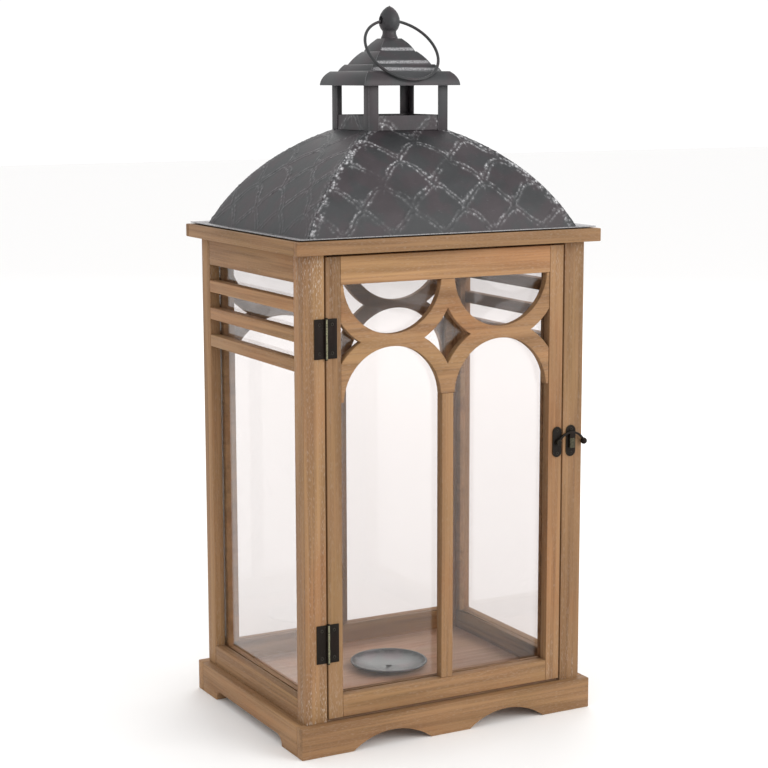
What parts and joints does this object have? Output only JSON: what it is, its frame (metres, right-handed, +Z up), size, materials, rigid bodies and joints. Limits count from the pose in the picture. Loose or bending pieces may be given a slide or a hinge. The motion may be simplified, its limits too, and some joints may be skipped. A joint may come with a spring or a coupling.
{
  "type": "candle lantern",
  "caption": "Free-standing wooden candle lantern with a fretwork door, glass sides, a dish for a candle and an embossed metal roof with a cupola and ring handle.",
  "frame": {"origin": "middle of the footprint, on the floor under the skirt", "axes": "+X right along the front, -Y out of the front where the door is, +Z up"},
  "size_m": [0.34, 0.2654, 0.7242],
  "materials": {
    "pine": "matte, thinly stained, brushed grain",
    "whitewashed_pine": "matte, rubbed with thin whitewash in the grain",
    "glass": "clear float glass",
    "roof_metal": "dark gunmetal paint rubbed light grey on the raised lines",
    "ring_wire": "dark satin",
    "dark_bronze": "dark antique bronze, worn at the edges",
    "worn_brass": "dull worn brass",
    "steel": "dull",
    "grey_dish": "pale grey, satin"
  },
  "bodies": {
    "case": {"back_beads": "pine", "back_bottom_rail": "pine", "back_fretwork": "pine", "back_glass": "glass", "back_muntin": "pine", "back_top_rail": "pine", "candle_dish": "grey_dish", "case_screws": "worn_brass", "catch_plate": "dark_bronze", "cupola_post_back_left": "roof_metal", "cupola_post_back_right": "roof_metal", "cupola_post_front_left": "roof_metal", "cupola_post_front_right": "roof_metal", "cupola_roof": "roof_metal", "dish_screw": "steel", "door_stop": "pine", "finial": "roof_metal", "floor_panel": "pine", "hinge_case_leaves": "dark_bronze", "hinge_pins": "worn_brass", "post_back_left": "pine", "post_back_right": "pine", "post_front_left": "whitewashed_pine", "post_front_right": "pine", "roof_hood": "roof_metal", "roof_tacks": "steel", "side_beads_left": "pine", "side_beads_right": "pine", "side_bottom_rail_left": "pine", "side_bottom_rail_right": "pine", "side_glass_left": "glass", "side_glass_right": "glass", "side_slat_1_left": "pine", "side_slat_1_right": "pine", "side_slat_2_left": "pine", "side_slat_2_right": "pine", "side_slat_3_left": "pine", "side_slat_3_right": "pine", "side_top_rail_left": "pine", "side_top_rail_right": "pine", "skirt_back": "pine", "skirt_front": "pine", "skirt_left": "pine", "skirt_right": "pine", "top_board": "pine", "top_lippings": "pine"},
    "door": {"door_beads": "pine", "door_fretwork": "pine", "door_glass": "glass", "door_muntin": "pine", "door_rail_bottom": "pine", "door_rail_top": "pine", "door_screws": "worn_brass", "door_stile_hinge": "pine", "door_stile_latch": "pine", "hinge_door_leaves": "dark_bronze", "latch_plate": "dark_bronze", "latch_rivet": "dark_bronze"},
    "latch": {"latch_arm": "dark_bronze"},
    "ring": {"ring_handle": "ring_wire"}
  },
  "joints": [
    {"name": "door_hinge", "type": "hinge", "parent": "case", "child": "door", "pos_m": [-0.1348, -0.1217, 0.2855], "axis": [0, 0, -1], "range_deg": [0, 170]},
    {"name": "latch_swing", "type": "hinge", "parent": "door", "child": "latch", "pos_m": [0.1282, -0.1234, 0.2855], "axis": [0, -1, 0], "range_deg": [0, 100]},
    {"name": "ring_swing", "type": "hinge", "parent": "case", "child": "ring", "pos_m": [0, 0, 0.70939], "axis": [-1, 0, 0], "range_deg": [0, 277.1]}
  ]
}
